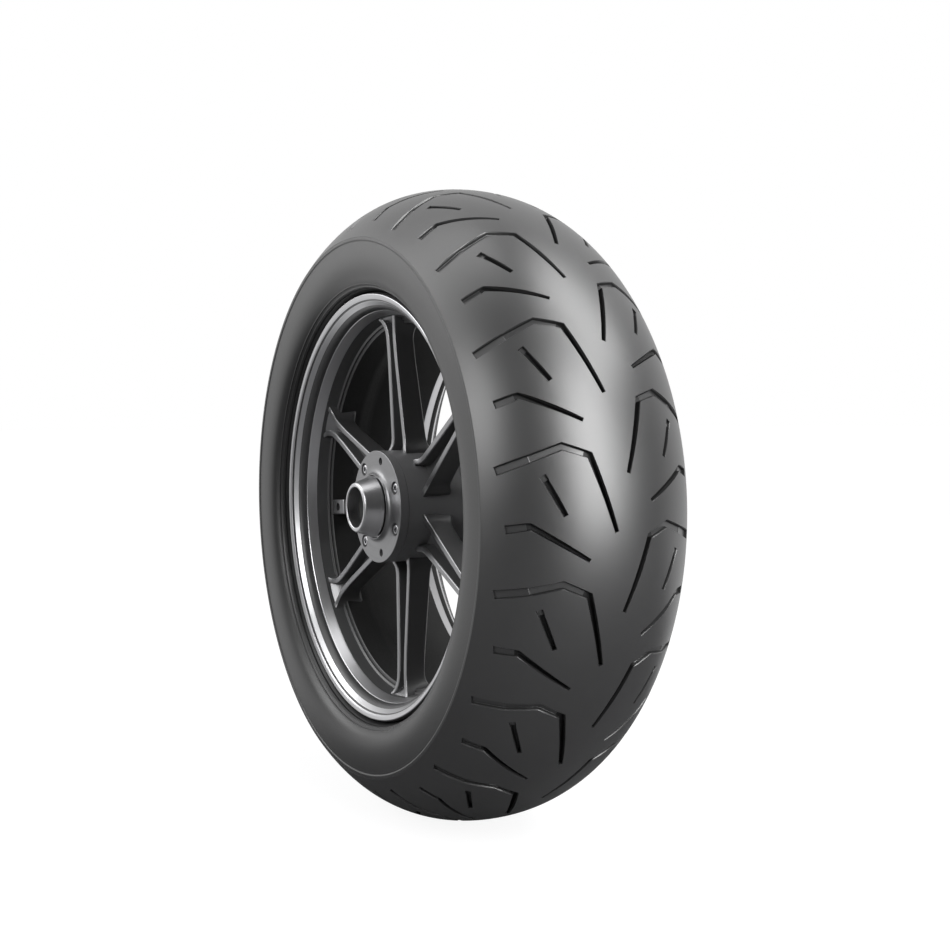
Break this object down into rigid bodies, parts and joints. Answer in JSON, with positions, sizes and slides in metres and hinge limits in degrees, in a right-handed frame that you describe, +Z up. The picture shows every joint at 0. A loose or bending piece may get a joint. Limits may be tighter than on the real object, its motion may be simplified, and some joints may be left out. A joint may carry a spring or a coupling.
{
  "type": "motorcycle rear wheel with tyre",
  "caption": "Wide grooved motorcycle tyre on a cast spoked rear wheel, with a bolted hub end plate, a conical bearing nose, sealed bearings and a cushioned drive carrier.",
  "frame": {"origin": "on the axle's axis, at the middle of the tyre's width", "axes": "+Y along the axle towards the drive side, +Z up, the open side with the end plate faces -Y"},
  "size_m": [0.646, 0.2156, 0.646],
  "materials": {
    "tread_rubber": "matte",
    "sidewall_rubber": "satin",
    "cord_rubber": "matte",
    "bead_wire": "satin",
    "cast_alloy": "satin",
    "machined_alloy": "satin",
    "bearing_steel": "gloss",
    "zinc_steel": "satin",
    "soft_rubber": "matte",
    "brass": "satin",
    "cap_plastic": "matte",
    "weight_steel": "satin"
  },
  "bodies": {
    "axle_stack": {"bearing_open_side_inner": "bearing_steel", "distance_tube": "zinc_steel", "bearing_drive_side_inner": "bearing_steel", "carrier_spacer": "zinc_steel", "carrier_bearing_inner": "bearing_steel"},
    "wheel": {"tread_cap": "tread_rubber", "belt": "cord_rubber", "carcass": "cord_rubber", "sidewall_open_side": "sidewall_rubber", "sidewall_drive_side": "sidewall_rubber", "bead_filler_open_side": "sidewall_rubber", "bead_filler_drive_side": "sidewall_rubber", "bead_core_open_side": "bead_wire", "bead_core_drive_side": "bead_wire", "wheel_rim": "cast_alloy", "spoke_1": "cast_alloy", "spoke_2": "cast_alloy", "spoke_3": "cast_alloy", "spoke_4": "cast_alloy", "spoke_5": "cast_alloy", "spoke_6": "cast_alloy", "wheel_hub": "cast_alloy", "hub_end_plate": "machined_alloy", "end_plate_bolt_1": "zinc_steel", "end_plate_bolt_2": "zinc_steel", "end_plate_bolt_3": "zinc_steel", "end_plate_bolt_4": "zinc_steel", "bearing_retainer": "machined_alloy", "dust_seal_open_side": "soft_rubber", "bearing_open_side_outer": "bearing_steel", "bearing_drive_side_outer": "bearing_steel", "cush_damper_1": "soft_rubber", "cush_damper_2": "soft_rubber", "cush_damper_3": "soft_rubber", "cush_damper_4": "soft_rubber", "cush_damper_5": "soft_rubber", "valve_stem": "brass", "valve_grommet": "soft_rubber", "valve_nut": "brass", "balance_weight": "weight_steel"},
    "open_side_balls": {"bearing_open_side_balls": "bearing_steel"},
    "drive_side_balls": {"bearing_drive_side_balls": "bearing_steel"},
    "carrier_balls": {"carrier_bearing_balls": "bearing_steel"},
    "carrier": {"drive_carrier": "machined_alloy", "carrier_bearing_outer": "bearing_steel", "carrier_circlip": "zinc_steel", "dust_seal_drive_side": "soft_rubber"},
    "valve_core": {"valve_pin": "brass"},
    "cap": {"valve_cap": "cap_plastic"}
  },
  "joints": [
    {"name": "wheel_spin", "type": "hinge", "parent": "axle_stack", "child": "wheel", "pos_m": [0, 0, 0], "axis": [0, 1, 0], "continuous": true},
    {"name": "open_side_balls_spin", "type": "hinge", "parent": "axle_stack", "child": "open_side_balls", "pos_m": [0, -0.0545, 0], "axis": [0, 1, 0], "continuous": true},
    {"name": "drive_side_balls_spin", "type": "hinge", "parent": "axle_stack", "child": "drive_side_balls", "pos_m": [0, 0.0155, 0], "axis": [0, 1, 0], "continuous": true},
    {"name": "carrier_balls_spin", "type": "hinge", "parent": "axle_stack", "child": "carrier_balls", "pos_m": [0, 0.0675, 0], "axis": [0, 1, 0], "continuous": true},
    {"name": "cush_turn", "type": "hinge", "parent": "wheel", "child": "carrier", "pos_m": [0, 0.07, 0], "axis": [0, 1, 0], "range_deg": [-4, 4], "stiffness_Nm_per_rad": 60, "deforming": ["cush_damper_1", "cush_damper_2", "cush_damper_3", "cush_damper_4", "cush_damper_5"]},
    {"name": "valve_press", "type": "slide", "parent": "wheel", "child": "valve_core", "axis": [0, -1, 0], "range_m": [0, 0.001], "stiffness_N_per_m": 10},
    {"name": "cap_pull", "type": "slide", "parent": "wheel", "child": "cap", "axis": [0, 1, 0], "range_m": [0, 0.015]}
  ],
  "couplings": [
    {"joint": "open_side_balls_spin", "follows": "wheel_spin", "ratio": 0.6222},
    {"joint": "drive_side_balls_spin", "follows": "wheel_spin", "ratio": 0.6222},
    {"joint": "carrier_balls_spin", "follows": "wheel_spin", "ratio": 0.6222}
  ]
}
